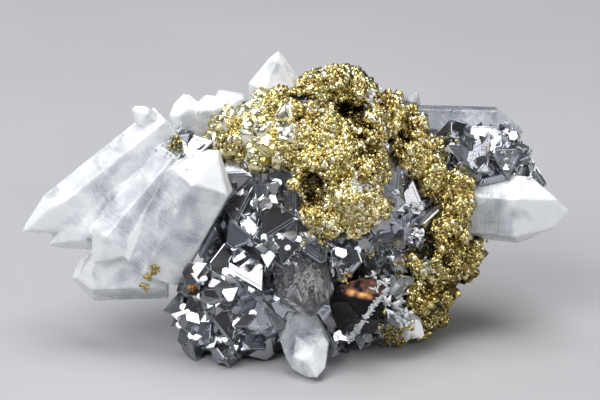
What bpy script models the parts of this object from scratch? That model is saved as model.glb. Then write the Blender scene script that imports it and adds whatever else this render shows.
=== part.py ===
"""A cabinet specimen of chalcopyrite: a brassy, cavernous crust that grew over dark sphalerite crystals,
with milky and clear quartz points round it.

X runs to the right of the show face, Y away from it and Z up. The origin is on the surface that the
specimen rests on. Every size below is in millimetres, and a mesh is turned into metres as it is made.
"""

import itertools
import math
from collections import namedtuple

import bmesh
import bpy
import numpy as np
from mathutils import Matrix, Vector
from mathutils.bvhtree import BVHTree

METRES = 0.001
CONTACT_GAP = 0.35
FLOOR_CLEARANCE = 0.4

# A convex body: each face plane is a way out of the centre and the reach of the plane along it.
Body = namedtuple("Body", "centre ways reach")

# The rock that the crystals grew on: one large body, and the shoulders and feet that stand out of it.
ROCK = {
    "body": {"centre": (5, 3, 21), "radii": (22, 19, 27.3), "faces": 46},
    "left_shoulder": {"centre": (-13, 1, 32), "radii": (9.5, 9.5, 7.5), "faces": 26},
    "right_shoulder": {"centre": (35.5, 6, 31.5), "radii": (10.5, 8, 8), "faces": 26},
    "right_neck": {"centre": (26.5, -0.5, 27), "radii": (6.5, 5, 6), "faces": 26},
    "right_flank": {"centre": (22.5, 1, 20), "radii": (9, 11, 9), "faces": 26},
    "left_foot": {"centre": (-13, -12, 8), "radii": (9, 7, 9), "faces": 26},
    "front_shelf": {"centre": (2, -12, 9), "radii": (11, 7, 7), "faces": 26},
    "right_foot": {"centre": (18, -8, 5), "radii": (6, 5, 5), "faces": 26},
}
ROCK_ROUGHNESS = 0.05

# The crown of chalcopyrite lies above this edge: degrees round the body from the show face, and height.
CROWN_EDGE = (
    (-180, 32), (-150, 30), (-120, 36), (-90, 37), (-63, 36.5), (-49, 37.5), (-37, 38.5), (-29, 36.5),
    (-15, 31), (-5, 29), (8, 26), (13, 26), (18, 31), (29, 35), (39, 38), (49, 38), (60, 36), (75, 31),
    (100, 30), (120, 34), (150, 30), (180, 32),
)
# A second sheet of it runs down the right flank between these edges: height, then degrees.
FLANK_EDGE = ((0, 46), (3.4, 46), (9.4, 58), (18.6, 50), (21.7, 62), (29.5, 66), (60, 70))
FLANK_BACK = ((0, 75), (8, 75), (13, 120), (60, 125))
# There is none left of this distance, nor right of a distance and above a height at once.
CRUST_LEFT_END = -17
CRUST_RIGHT_ENDS = ((23, 35), (29.5, 31), (33, 0))

# The skyline of the crust over its middle: distance to the right, and height. Behind the middle it falls.
SKYLINE = (
    (-20, 42), (-18.5, 43.6), (-12, 48), (-9, 49), (-7.6, 51.4), (-1, 52.2), (1, 54.2), (6, 56), (9, 56),
    (12.5, 53.2), (18, 50.8), (26, 46.2), (30, 42),
)
SKYLINE_FALL = 0.36

# Holes in the crust: centre and radii.
PIT_FACES = 14
PIT_ROUGHNESS = 0.1
PITS = (
    ((3, -20, 37), (2.5, 7, 3.3)),
    ((18.5, -11, 48), (1.4, 5, 4.5)),
    ((12.4, -15, 46.4), (1.5, 4, 1.8)),
    ((21, -11, 44.5), (1.6, 4, 1.8)),
    ((-3, -13.5, 48.3), (1.5, 4, 1.5)),
    ((25, -10.5, 21.2), (2.2, 5, 3)),
    ((31, -5, 10), (2.5, 5, 3)),
)

# A quartz crystal: its base, the middle of its shoulders, its tip, its width and depth, the turn of its
# sides and of its end faces in degrees, and how far the lesser end faces are set back.
Point = namedtuple("Point", "base head tip width depth turn end_turn lesser")
QUARTZ = {
    "quartz_clear_front": (
        Point((0, -12.5, 21), (1.8, -20.6, 15.4), (2.6, -25, 12.2), 11.4, 8.6, 0, 0, 0.3),
    ),
    "quartz_point_front": (
        Point((-1, -13, 9.2), (1.8, -23.5, 4.4), (3.6, -29.2, 1.2), 9.0, 7.0, 0, 30, 0.4),
    ),
    "quartz_blade_front": (
        Point((19.5, -16, 15.5), (10.5, -20.2, 6.4), (9.6, -20.8, 5.4), 1.2, 1.8, 0, 0, 0.1),
    ),
    "quartz_tip_lower_right": (
        Point((15, -12, 10), (22.4, -15.5, 6), (24.9, -16.5, 4.6), 4.8, 4.6, 0, 0, 0.1),
    ),
    "quartz_clear_lower_right": (
        Point((24, -4, 8), (27.6, -8.4, 9.4), (28.6, -9.8, 11), 4.6, 4.6, 0, 0, 0.1),
    ),
    "quartz_point_right": (
        Point((30, 1, 26.5), (44.4, -1.5, 26), (54.0, -2.5, 25.8), 13.4, 12.0, -30, 0, 0.4),
    ),
    "quartz_slab_back_right": (
        Point((23, 13, 39), (40, 13, 38.6), (45.6, 12, 37.4), 7.0, 9.0, 10, 0, 0.1),
    ),
    "quartz_tip_back": (
        Point((20, 8, 38), (22.8, 8, 45.5), (23.8, 8, 47.6), 3.6, 3.4, 0, 0, 0.1),
    ),
    "quartz_point_top": (
        Point((-4.5, 8, 40), (-4.5, 8, 48.5), (-4.0, 8, 56.0), 10.5, 8.0, 25, 0, 0.1),
    ),
    "quartz_cluster_left": (
        Point((-25, 2.4, 41), (-45, -5, 26.5), (-54.6, -8, 23.6), 12.5, 9.0, 32, 0, 0.1),
        Point((-24, -1, 35), (-42.5, -6, 23.6), (-49.5, -7.5, 20.4), 8.6, 8.0, 10, 0, 0.2),
        Point((-23.5, -3, 36.5), (-36.5, -10, 22.5), (-40.2, -12.5, 18.6), 9.5, 8.0, 35, 0, 0.15),
        Point((-28.8, -11, 17.4), (-19, -12.2, 36.1), (-15.6, -13, 42.4), 13.2, 11.0, 12, 0, 0.1),
        Point((-26, -8, 15.3), (-40, -8, 14.8), (-45.2, -8, 13.8), 10.5, 10.0, 15, 0, 0.3),
        Point((-25, 1, 40.5), (-30.8, 0, 45), (-33, 0, 46.8), 4.2, 3.4, 30, 0, 0.2),
        Point((-18, 4, 33), (-22.5, 4, 44.5), (-22.8, 4, 48.4), 6.5, 6.0, 20, 0, 0.3),
        Point((-15, 5, 33), (-17.5, 5, 45), (-18.5, 5, 47.8), 7.5, 6.0, 50, 0, 0.2),
        Point((-8, 8, 36), (-13.5, 8, 44.5), (-16.2, 8, 47.8), 7.0, 6.0, 0, 0, 0.25),
    ),
}
# How far a side stands in, how far a shoulder moves along the crystal, and how the set back ends vary.
QUARTZ_SIDE = (0.9, 1.0)
QUARTZ_SHOULDER = (-0.1, 0.1)
QUARTZ_LESSER = (0.8, 1.2)

BROWN_CRYSTAL = {"centre": (12.2, -18.0, 12.0), "radii": (5.2, 5, 5), "faces": 12}
BROWN_ROUGHNESS = 0.08

# The crystals of sphalerite that show most: centre, edge, the way the broadest face looks, and its turn in
# degrees.
SHOWN_SPHALERITE = (
    ((-11.7, -16.6, 25.6), 7.0, (-0.15, -0.93, 0.33), -5),
    ((-2.2, -17.0, 23.8), 7.0, (0.0, -0.94, 0.34), 17),
    ((9.2, -17.0, 21.0), 9.0, (0.1, -0.97, 0.22), 18),
    ((16.6, -13.0, 31.2), 8.5, (-0.5, 0.8, -0.3), 40),
    ((21.4, -9.6, 30.0), 8.5, (0.3, -0.85, 0.4), 75),
    ((22.0, -10.0, 24.6), 8.0, (-0.6, 0.6, 0.2), 10),
    ((17.0, -13.4, 25.6), 8.5, (0.1, -0.9, 0.4), -20),
    ((-18.4, -10.5, 24.0), 9.0, (-0.4, -0.8, 0.4), 40),
    ((-20.0, -15.5, 17.4), 8.0, (-0.5, -0.8, 0.3), 25),
    ((-9.2, -18.6, 17.8), 8.0, (0.1, -0.6, 0.8), 50),
    ((-15.4, -18.4, 13.6), 9.5, (-0.1, -0.45, 0.9), 0),
    ((-18.6, -17.2, 7.2), 9.5, (-0.5, -0.75, 0.4), 70),
    ((-7.0, -18.6, 8.6), 9.0, (0.2, -0.7, 0.7), 95),
    ((-20.4, -5.0, 40.0), 8.0, (-0.3, -0.8, 0.5), 20),
    ((35.8, -0.4, 36.8), 9.5, (-0.2, -0.9, 0.4), 60),
    ((32.6, -0.6, 37.2), 7.0, (0.2, -0.9, 0.3), 30),
    ((33.4, -2.2, 33.6), 7.0, (-0.2, -0.95, 0.1), 0),
    ((38.2, -1.6, 31.6), 8.5, (0.2, -0.95, -0.1), 40),
    ((42.6, 1.4, 35.6), 7.0, (0.5, -0.6, 0.5), 10),
)

# How far the planes of a sphalerite crystal's four faces and of its blunt tips stand out, as shares of the
# radius of the ball that fits in the sharp crystal.
SPHALERITE_FACE_REACH = (0.8, 1.05)
SPHALERITE_TIP_REACH = (1.7, 2.6)

# The space between neighbours on the show face and behind it, and sizes as shares of that space.
SHOW_FACE_DEPTH = 7
SPHALERITE_SPACING = (4.6, 6.6)
SPHALERITE_EDGE = (1.35, 2.0)
LUMP_SPACING = (5.3, 6.2)
LUMP_RADIUS = (0.66, 0.84)
BLOCK_SPACING = (4.8, 9.8)
BLOCK_RADIUS = (0.25, 0.38)
LARGEST_BLOCK = 2.4

# Sphalerite near the edge of the crust is smaller and sits deeper. These steps from it look for the crust.
EDGE_STEPS = ((0, 0, 3), (2.5, 0, 0), (-2.5, 0, 0))
EDGE_SHARE = 0.7
EDGE_DEPTH = -0.8
OPEN_HEIGHT = 0.5
CLEAR_OF_OTHERS = 0.6
FACE_OUT_CHANCE = 0.6
FACE_LEANING = 0.4

# A lump of the crust: its flat faces, how rough they are, how its radii vary and how far out it sits.
LUMP_FACES = 10
LUMP_ROUGHNESS = 0.1
LUMP_SHAPE = (0.8, 1.2)
LUMP_HEIGHT = (0, 1.2)
# A block on the lumps: how far out its three pairs of faces and its cut corners stand, and how deep it sits.
BLOCK_FACE_REACH = (0.7, 1.15)
BLOCK_CORNER_REACH = (1.0, 1.3)
BLOCK_SUNK = 0.1

# Places for crystals are found by lines that run towards this point from a disc beyond the specimen.
SEARCH_MIDDLE = (4, 3, 22)
SEARCH_RADIUS = 45
SEARCH_DISTANCE = 120
LOWEST_SITE = 1.5

# The block of ground that is cut away under the specimen.
FLOOR_HALF_WIDTH = 90.0
FLOOR_HALF_DEPTH = 20.0


def unit(vector):
    vector = np.asarray(vector, float)
    return vector / np.linalg.norm(vector)


def between(value, pairs):
    """The second number of each pair, read at value along the first by straight lines."""
    return float(np.interp(value, [pair[0] for pair in pairs], [pair[1] for pair in pairs]))


def corners(body, gap=0.0):
    """The points where three faces of a body meet, with every face moved out by gap."""
    triples = np.array(list(itertools.combinations(range(len(body.ways)), 3)))
    reach = body.reach + gap
    meeting = np.abs(np.linalg.det(body.ways[triples])) > 1e-4
    triples = triples[meeting]
    points = np.linalg.solve(body.ways[triples], reach[triples][..., None])[..., 0]
    points = points[(points @ body.ways.T < reach + 1e-6).all(axis=1)]
    _, first = np.unique(np.round(points, 4), axis=0, return_index=True)
    return points[first] + body.centre


def holds(body, point, gap=0.0):
    return bool(((np.asarray(point) - body.centre) @ body.ways.T < body.reach + gap).all())


def hull(body, gap=0.0):
    """The closed mesh of a body, in metres."""
    bm = bmesh.new()
    for point in corners(body, gap):
        bm.verts.new(Vector(point) * METRES)
    found = bmesh.ops.convex_hull(bm, input=bm.verts)
    bmesh.ops.delete(bm, geom=list({*found["geom_interior"], *found["geom_unused"]}), context="VERTS")
    bmesh.ops.dissolve_limit(bm, angle_limit=math.radians(0.5), verts=bm.verts, edges=bm.edges)
    bmesh.ops.recalc_face_normals(bm, faces=bm.faces)
    return bm


def spread_ways(count, rng):
    """Directions spread evenly over a ball, then turned and shaken at random."""
    golden = math.pi * (3 - math.sqrt(5))
    height = 1 - 2 * (np.arange(count) + 0.5) / count
    turn = golden * np.arange(count) + rng.uniform(0, 6.28)
    across = np.sqrt(1 - height**2)
    ways = np.stack([across * np.cos(turn), across * np.sin(turn), height], axis=1)
    ways += rng.normal(0, 0.35 / math.sqrt(count), ways.shape)
    return (ways / np.linalg.norm(ways, axis=1)[:, None]) @ random_frame(rng).T


def random_frame(rng):
    columns, _ = np.linalg.qr(rng.normal(size=(3, 3)))
    return columns


def boulder(centre, radii, faces, roughness, rng):
    """A flat-faced stone that fills an ellipsoid."""
    ways = spread_ways(faces, rng)
    reach = np.linalg.norm(ways * np.asarray(radii, float), axis=1)
    return Body(np.asarray(centre, float), ways, reach * (1 + rng.uniform(-roughness, roughness, faces)))


def block(centre, radius, rng):
    """A blocky crystal: three pairs of faces and some corners cut off."""
    frame = random_frame(rng)
    signs = np.array(list(itertools.product((-1, 1), repeat=3)))
    cut = unit_rows(signs[rng.choice(8, 2, replace=False)])
    ways = np.concatenate([np.eye(3), -np.eye(3), cut]) @ frame
    pairs = np.tile(rng.uniform(*BLOCK_FACE_REACH, 3), 2)
    reach = np.concatenate([pairs, rng.uniform(*BLOCK_CORNER_REACH, 2)]) * radius
    return Body(np.asarray(centre, float), ways, reach)


def unit_rows(rows):
    return rows / np.linalg.norm(rows, axis=1)[:, None]


def sphalerite_crystal(centre, edge, facing, spin, rng):
    """A tetrahedron with blunt tips. Its broadest face looks along facing."""
    facing = unit(facing)
    side = unit(np.cross(facing, (0.0, 0.0, 1.0) if abs(facing[2]) < 0.9 else (1.0, 0.0, 0.0)))
    over = np.cross(facing, side)
    ways = [facing]
    for k in range(3):
        angle = math.radians(spin + 120 * k)
        across = math.cos(angle) * side + math.sin(angle) * over
        ways.append(math.sqrt(8) / 3 * across - facing / 3)
    ways = np.array(ways)
    inner = edge * math.sqrt(6) / 12
    flat = rng.uniform(*SPHALERITE_FACE_REACH, 4) * inner
    blunt = rng.uniform(*SPHALERITE_TIP_REACH, 2) * inner
    ends = -ways[rng.choice(4, 2, replace=False)]
    return Body(np.asarray(centre, float), np.concatenate([ways, ends]), np.concatenate([flat, blunt]))


def quartz_crystal(point, rng):
    """A six-sided point. Its sides run from base to head, and its end faces rise from there to the tip."""
    base, head, tip = (np.asarray(place, float) for place in (point.base, point.head, point.tip))
    axis = unit(head - base)
    side = unit(np.cross(axis, (0.0, 1.0, 0.0)))
    over = np.cross(side, axis)
    ways, reach = [-axis], [0.0]
    for k in range(6):
        for turn, is_end in ((point.turn, False), (point.turn + point.end_turn, True)):
            angle = math.radians(turn + 60 * k)
            out = math.cos(angle) * side + math.sin(angle) * over
            radius = math.hypot(point.width / 2 * math.cos(angle), point.depth / 2 * math.sin(angle))
            if not is_end:
                ways.append(out)
                reach.append(radius * rng.uniform(*QUARTZ_SIDE))
                continue
            shoulder = head + out * radius + axis * rng.uniform(*QUARTZ_SHOULDER) * point.width
            set_back = 0.0 if k % 2 else rng.uniform(*QUARTZ_LESSER) * point.lesser * point.width
            apex = tip + axis * set_back
            end = unit(np.cross(np.cross(axis, out), apex - shoulder))
            end = end if end @ out > 0 else -end
            ways.append(end)
            reach.append(float(end @ (apex - base)))
    return Body(base, np.array(ways), np.array(reach))


def clear_scene():
    for obj in list(bpy.data.objects):
        bpy.data.objects.remove(obj)


def material(name, colour, roughness, metallic=0.0, transmission=0.0):
    made = bpy.data.materials.new(name)
    made.use_nodes = True
    shader = made.node_tree.nodes["Principled BSDF"].inputs
    shader["Base Color"].default_value = (*colour, 1)
    shader["Roughness"].default_value = roughness
    shader["Metallic"].default_value = metallic
    shader["Transmission Weight"].default_value = transmission
    return made


def new_object(name, bm, finish=None):
    mesh = bpy.data.meshes.new(name)
    bm.to_mesh(mesh)
    bm.free()
    if finish:
        mesh.materials.append(finish)
    made = bpy.data.objects.new(name, mesh)
    bpy.context.scene.collection.objects.link(made)
    return made


def fused(name, bodies, finish):
    """One solid from overlapping bodies."""
    made = new_object(name, hull(bodies[0]), finish)
    if len(bodies) > 1:
        combine(made, "UNION", bodies[1:])
    return made


def combine(target, operation, bodies, gap=0.0):
    """Joins bodies to target or cuts them out of it, and keeps the largest body that is left."""
    tools = bpy.data.collections.new(target.name + "_tools")
    for body in bodies:
        tool = new_object("tool", hull(body, gap))
        bpy.context.scene.collection.objects.unlink(tool)
        tools.objects.link(tool)
    boolean = target.modifiers.new(operation.lower(), "BOOLEAN")
    boolean.operation = operation
    boolean.operand_type = "COLLECTION"
    boolean.collection = tools
    boolean.solver = "EXACT"
    graph = bpy.context.evaluated_depsgraph_get()
    mesh = bpy.data.meshes.new_from_object(target.evaluated_get(graph))
    target.modifiers.clear()
    target.data = mesh
    for tool in list(tools.objects):
        bpy.data.objects.remove(tool)
    bpy.data.collections.remove(tools)
    keep_largest(target)


def keep_largest(target):
    """Drops every loose body of a mesh but the one with the most corners."""
    bm = bmesh.new()
    bm.from_mesh(target.data)
    left = set(bm.verts)
    bodies = []
    while left:
        found = {left.pop()}
        edge_of = list(found)
        while edge_of:
            vert = edge_of.pop()
            near = {edge.other_vert(vert) for edge in vert.link_edges} - found
            found |= near
            edge_of += near
        left -= found
        bodies.append(found)
    bodies.sort(key=len)
    for body in bodies[:-1]:
        bmesh.ops.delete(bm, geom=list(body), context="VERTS")
    bm.to_mesh(target.data)
    bm.free()


def surface_of(bodies):
    """A tree that finds the outermost face of some bodies, in millimetres."""
    points, faces = [], []
    for body in bodies:
        bm = hull(body)
        bm.verts.index_update()
        start = len(points)
        points += [vert.co / METRES for vert in bm.verts]
        faces += [[start + vert.index for vert in face.verts] for face in bm.faces]
        bm.free()
    return BVHTree.FromPolygons(points, faces)


def surface_sites(tree, spacing, rng, tries=8000):
    """Places spread over a surface as seen from every side: (place, way out, space kept round it)."""
    sites = []
    for _ in range(tries):
        way = unit(rng.normal(size=3))
        aside = unit(np.cross(way, rng.normal(size=3))) * SEARCH_RADIUS * math.sqrt(rng.uniform(0, 1))
        start = Vector(np.array(SEARCH_MIDDLE) + aside + way * SEARCH_DISTANCE)
        place, normal, _, _ = tree.ray_cast(start, Vector(-way))
        if place is None or place.z < LOWEST_SITE:
            continue
        room = spacing[0] if place.y < SHOW_FACE_DEPTH else spacing[1]
        if all((place - other).length > room for other, _, _ in sites):
            sites.append((place, normal if normal.dot(Vector(way)) > 0 else -normal, room))
    return sites


def is_chalcopyrite(place):
    centre = ROCK["body"]["centre"]
    turn = math.degrees(math.atan2(place[0] - centre[0], centre[1] - place[1]))
    past_right_end = any(place[0] > right and place[2] > height for right, height in CRUST_RIGHT_ENDS)
    if past_right_end or place[0] < CRUST_LEFT_END:
        return False
    if place[2] > between(turn, CROWN_EDGE):
        return True
    return between(place[2], FLANK_EDGE) < turn < between(place[2], FLANK_BACK)


def quartz_bodies():
    rng = np.random.default_rng(3)
    return {name: [quartz_crystal(point, rng) for point in points] for name, points in QUARTZ.items()}


def sphalerite_bodies(rock, taken):
    """The crystals on show, then others wherever the rock has neither chalcopyrite nor quartz."""
    rng = np.random.default_rng(5)
    crystals = [sphalerite_crystal(*shown, rng) for shown in SHOWN_SPHALERITE]
    taken = taken + crystals
    for place, way, room in surface_sites(rock, SPHALERITE_SPACING, rng):
        if is_chalcopyrite(place) or any(holds(body, place + way, CLEAR_OF_OTHERS) for body in taken):
            continue
        sunk = any(is_chalcopyrite(place + Vector(step)) for step in EDGE_STEPS)
        edge = room * rng.uniform(*SPHALERITE_EDGE) * (EDGE_SHARE if sunk else 1)
        outward = 1 if rng.uniform() < FACE_OUT_CHANCE else -1
        facing = np.array(way) * outward + rng.normal(0, FACE_LEANING, 3)
        centre = place + way * (EDGE_DEPTH if sunk else OPEN_HEIGHT)
        crystals.append(sphalerite_crystal(centre, edge, facing, rng.uniform(0, 120), rng))
    return crystals


def under_skyline(body):
    """The body, moved down if it stands above the skyline."""
    above = max(top[2] + SKYLINE_FALL * top[1] - between(top[0], SKYLINE) for top in corners(body))
    return body._replace(centre=body.centre - (0, 0, max(above, 0)))


def chalcopyrite_bodies(rock):
    """A sheet of lumps over the rock, and blocky crystals over the lumps."""
    rng = np.random.default_rng(8)
    lumps = []
    for place, way, room in surface_sites(rock, LUMP_SPACING, rng):
        if is_chalcopyrite(place):
            radii = room * rng.uniform(*LUMP_RADIUS) * rng.uniform(*LUMP_SHAPE, 3)
            centre = place + way * rng.uniform(*LUMP_HEIGHT)
            lumps.append(under_skyline(boulder(centre, radii, LUMP_FACES, LUMP_ROUGHNESS, rng)))
    blocks = []
    for place, way, room in surface_sites(surface_of(lumps), BLOCK_SPACING, rng, 4000):
        radius = min(room * rng.uniform(*BLOCK_RADIUS), LARGEST_BLOCK)
        blocks.append(under_skyline(block(place - way * BLOCK_SUNK, radius, rng)))
    return lumps + blocks


def floor_body():
    """Everything under the surface that the specimen rests on."""
    sides = np.concatenate([np.eye(3), -np.eye(3)])
    reach = np.array((FLOOR_HALF_WIDTH, FLOOR_HALF_WIDTH, FLOOR_HALF_DEPTH) * 2)
    return Body(np.array((0.0, 0.0, -FLOOR_HALF_DEPTH)), sides, reach)


def centre_on_origin(objects):
    """Moves every mesh across until the middle of the whole box stands on the origin."""
    across = np.array([vert.co[:2] for obj in objects for vert in obj.data.vertices])
    middle = (across.min(axis=0) + across.max(axis=0)) / 2
    for obj in objects:
        obj.data.transform(Matrix.Translation((-middle[0], -middle[1], 0)))


def main():
    clear_scene()
    milky = material("quartz", (0.86, 0.87, 0.89), 0.2, transmission=0.2)
    dark = material("sphalerite", (0.07, 0.075, 0.085), 0.2, metallic=0.7)
    brown = material("sphalerite_brown", (0.09, 0.04, 0.02), 0.12)
    brassy = material("chalcopyrite", (0.66, 0.47, 0.14), 0.32, metallic=1.0)
    floor = floor_body()

    rng = np.random.default_rng(1)
    rock = [boulder(**lump, roughness=ROCK_ROUGHNESS, rng=rng) for lump in ROCK.values()]
    rock_tree = surface_of(rock)
    quartz = quartz_bodies()
    brown_crystal = boulder(**BROWN_CRYSTAL, roughness=BROWN_ROUGHNESS, rng=rng)
    made, let_in = [], []
    pieces = [(name, bodies, milky) for name, bodies in quartz.items()]
    for name, bodies, finish in [*pieces, ("sphalerite_brown_crystal", [brown_crystal], brown)]:
        made.append(fused(name, bodies, finish))
        if let_in:
            combine(made[-1], "DIFFERENCE", let_in, CONTACT_GAP)
        let_in = let_in + bodies
    crystals = sphalerite_bodies(rock_tree, let_in)

    matrix = fused("sphalerite_matrix", rock + crystals, dark)
    combine(matrix, "DIFFERENCE", let_in, CONTACT_GAP)
    combine(matrix, "DIFFERENCE", [floor])

    crust = fused("chalcopyrite_crust", chalcopyrite_bodies(rock_tree), brassy)
    combine(crust, "DIFFERENCE", rock + crystals + let_in, CONTACT_GAP)
    pits = [boulder(centre, radii, PIT_FACES, PIT_ROUGHNESS, rng) for centre, radii in PITS]
    combine(crust, "DIFFERENCE", pits)
    combine(crust, "DIFFERENCE", [floor], FLOOR_CLEARANCE)
    centre_on_origin(made + [matrix, crust])


main()
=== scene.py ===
"""The looks of a chalcopyrite specimen: a druse of brassy crystals, stepped sphalerite and milky quartz.

Every size is in millimetres, in the frame of the solids, and a mesh is turned into metres as it is made. A
place that was read off the photograph is a pixel of its 600 by 400 frame, and sits where the line of sight
through that pixel meets the specimen. A window of the photograph is an oval: its middle pixel, half its
length and half its width in pixels, and its turn in degrees. The measures of a crystal shape are shares of
the crystal's size.
"""

import itertools
import math
from collections import namedtuple

import bmesh
import bpy
import numpy as np
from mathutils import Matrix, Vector, noise
from mathutils.bvhtree import BVHTree


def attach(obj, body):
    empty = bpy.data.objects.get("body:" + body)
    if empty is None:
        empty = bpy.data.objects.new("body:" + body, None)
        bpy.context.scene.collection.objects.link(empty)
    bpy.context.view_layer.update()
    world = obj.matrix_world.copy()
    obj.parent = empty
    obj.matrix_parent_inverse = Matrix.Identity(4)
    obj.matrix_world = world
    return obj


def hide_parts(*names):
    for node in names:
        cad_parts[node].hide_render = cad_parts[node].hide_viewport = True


METRES = 0.001

# The camera of the photograph: what it looks at, how far off it stands, and its height above the horizon.
AIM = np.array((0.6, 0.5, 27.0))
CAMERA_DISTANCE = 600
CAMERA_ELEVATION = math.radians(20)
LENS = 180
SENSOR = 36
PHOTO_WIDTH = 600
PHOTO_HEIGHT = 400
PER_PIXEL = SENSOR / LENS / PHOTO_WIDTH

# A window is at its full strength in the middle, and fades to nothing at this distance from it, squared.
WINDOW_RIM = 1.3
FACING_GAIN = 3

# Planes that span less than this meet in no point. A point this far beyond a plane still lies on it.
SPANNED = 1e-4
ON_PLANE = 1e-6
SHORTEST = 1e-9

# Noise for another seed is read this much further on. Rugged noise is made of finer and fainter layers.
SEED_STEP = np.array((31.7, 17.3, 5.9))
RUGGED_LAYERS = ((1, 1), (2.1, 0.5), (4.3, 0.25))

# Candidates for each place on a surface that is kept.
CANDIDATES = 6
# How many lines out of a place tell how open it is.
LINES_OUT = 6
# How far above a surface the things stand that are placed on it through a pixel.
PIXEL_LIFT = 0.2

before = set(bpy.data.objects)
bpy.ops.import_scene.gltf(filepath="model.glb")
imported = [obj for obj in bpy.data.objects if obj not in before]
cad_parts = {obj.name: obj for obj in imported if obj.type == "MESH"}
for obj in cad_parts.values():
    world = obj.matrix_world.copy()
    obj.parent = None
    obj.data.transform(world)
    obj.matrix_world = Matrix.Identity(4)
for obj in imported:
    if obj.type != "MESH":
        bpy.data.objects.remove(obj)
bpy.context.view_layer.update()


def unit(vector):
    vector = np.asarray(vector, float)
    return vector / np.linalg.norm(vector)


def unit_rows(rows):
    return rows / np.maximum(np.linalg.norm(rows, axis=1), SHORTEST)[:, None]


def random_frames(count, rng):
    """Random turns, one square matrix for each."""
    frames, _ = np.linalg.qr(rng.normal(size=(count, 3, 3)))
    return frames


def camera_axes():
    """The ways to the right, up and ahead as the camera sees them."""
    ahead = np.array((0, math.cos(CAMERA_ELEVATION), -math.sin(CAMERA_ELEVATION)))
    return np.array((1.0, 0, 0)), np.cross((1.0, 0, 0), ahead), ahead


def sight_line(pixel):
    """Where the line of sight through a pixel starts, and the way it runs."""
    right, up, ahead = camera_axes()
    across = (pixel[0] - PHOTO_WIDTH / 2) * PER_PIXEL
    above = (PHOTO_HEIGHT / 2 - pixel[1]) * PER_PIXEL
    return AIM - ahead * CAMERA_DISTANCE, unit(ahead + right * across + up * above)


def photo_place(points):
    """The pixel at which each point is seen, as a row of distances across and a row of distances down."""
    right, up, ahead = camera_axes()
    away = points - (AIM - ahead * CAMERA_DISTANCE)
    depth = away @ ahead * PER_PIXEL
    return PHOTO_WIDTH / 2 + away @ right / depth, PHOTO_HEIGHT / 2 - away @ up / depth


def in_window(points, window):
    """How far inside a window of the photograph each point is seen: 1 in the middle, 0 past its rim."""
    (middle_across, middle_down), length, width, turn = window
    across, down = photo_place(points)
    across, down, turn = across - middle_across, down - middle_down, math.radians(turn)
    along = across * math.cos(turn) + down * math.sin(turn)
    beside = down * math.cos(turn) - across * math.sin(turn)
    return np.clip(WINDOW_RIM - (along / length) ** 2 - (beside / width) ** 2, 0, 1)


def facing(normals):
    """How far each way out turns to the camera, from 0 to 1."""
    return np.clip(-normals @ camera_axes()[2] * FACING_GAIN, 0, 1)


def node_mesh(name):
    """One solid in millimetres, with its flat faces whole again."""
    bm = bmesh.new()
    bm.from_mesh(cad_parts[name].data)
    bmesh.ops.scale(bm, vec=Vector((1, 1, 1)) / METRES, verts=bm.verts)
    bmesh.ops.remove_doubles(bm, verts=bm.verts, dist=0.002)
    bmesh.ops.dissolve_limit(bm, angle_limit=math.radians(0.6), verts=bm.verts, edges=bm.edges)
    return bm


def node_tree(name):
    bm = node_mesh(name)
    tree = BVHTree.FromBMesh(bm)
    bm.free()
    return tree


def tree_of(points, triangles):
    return BVHTree.FromPolygons(points.tolist(), triangles.tolist())


def arrays_of(bm):
    """The points and triangles of a bmesh. The bmesh is used up."""
    bmesh.ops.triangulate(bm, faces=bm.faces)
    bm.verts.index_update()
    points = np.array([vert.co[:] for vert in bm.verts])
    triangles = np.array([[vert.index for vert in face.verts] for face in bm.faces])
    bm.free()
    return points, triangles


def mesh_arrays(mesh):
    """The points and triangles of a mesh of three-cornered or four-cornered faces."""
    mesh.calc_loop_triangles()
    points = np.empty(len(mesh.vertices) * 3)
    mesh.vertices.foreach_get("co", points)
    triangles = np.empty(len(mesh.loop_triangles) * 3, np.int32)
    mesh.loop_triangles.foreach_get("vertices", triangles)
    return points.reshape(-1, 3), triangles.reshape(-1, 3)


def face_normals(points, triangles):
    """The way out of each triangle, twice as long as the triangle is large."""
    a, b, c = (points[triangles[:, k]] for k in range(3))
    return np.cross(b - a, c - a)


def point_normals(points, triangles):
    normals = np.zeros_like(points)
    across = face_normals(points, triangles)
    for k in range(3):
        np.add.at(normals, triangles[:, k], across)
    return unit_rows(normals)


def placed(name, data):
    """A new object in the scene."""
    made = bpy.data.objects.new(name, data)
    bpy.context.scene.collection.objects.link(made)
    return made


def remeshed(bm, voxel):
    """Points and triangles of an even mesh over a closed shape."""
    mesh = bpy.data.meshes.new("remesh")
    bm.to_mesh(mesh)
    bm.free()
    made = placed("remesh", mesh)
    even = made.modifiers.new("even", "REMESH")
    even.mode = "VOXEL"
    even.voxel_size = voxel
    graph = bpy.context.evaluated_depsgraph_get()
    evaluated = made.evaluated_get(graph)
    points, triangles = mesh_arrays(evaluated.to_mesh())
    evaluated.to_mesh_clear()
    bpy.data.objects.remove(made)
    return points, triangles


def relaxed(points, triangles, rounds):
    """The points drawn towards the middle of their neighbours, round after round."""
    edges = np.concatenate([triangles[:, (0, 1)], triangles[:, (1, 2)], triangles[:, (2, 0)]])
    count = np.maximum(np.bincount(edges[:, 0], minlength=len(points)), 1)
    for _ in range(rounds):
        sums = [np.bincount(edges[:, 0], points[edges[:, 1], axis], len(points)) for axis in range(3)]
        points = (points + np.stack(sums, axis=1) / count[:, None]) / 2
    return points


def noise_at(points, size, seed):
    """Smooth noise at each point, from -1 to 1. A lump of it is about size across."""
    away = Vector(SEED_STEP * seed)
    return np.array([noise.noise(Vector(point) / size + away) for point in points])


def rugged_at(points, size, seed):
    """Noise with ridges and hollows at three scales, about -1 to 1."""
    layers = enumerate(RUGGED_LAYERS)
    return sum(share * noise_at(points, size / finer, seed + k) for k, (finer, share) in layers)


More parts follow.
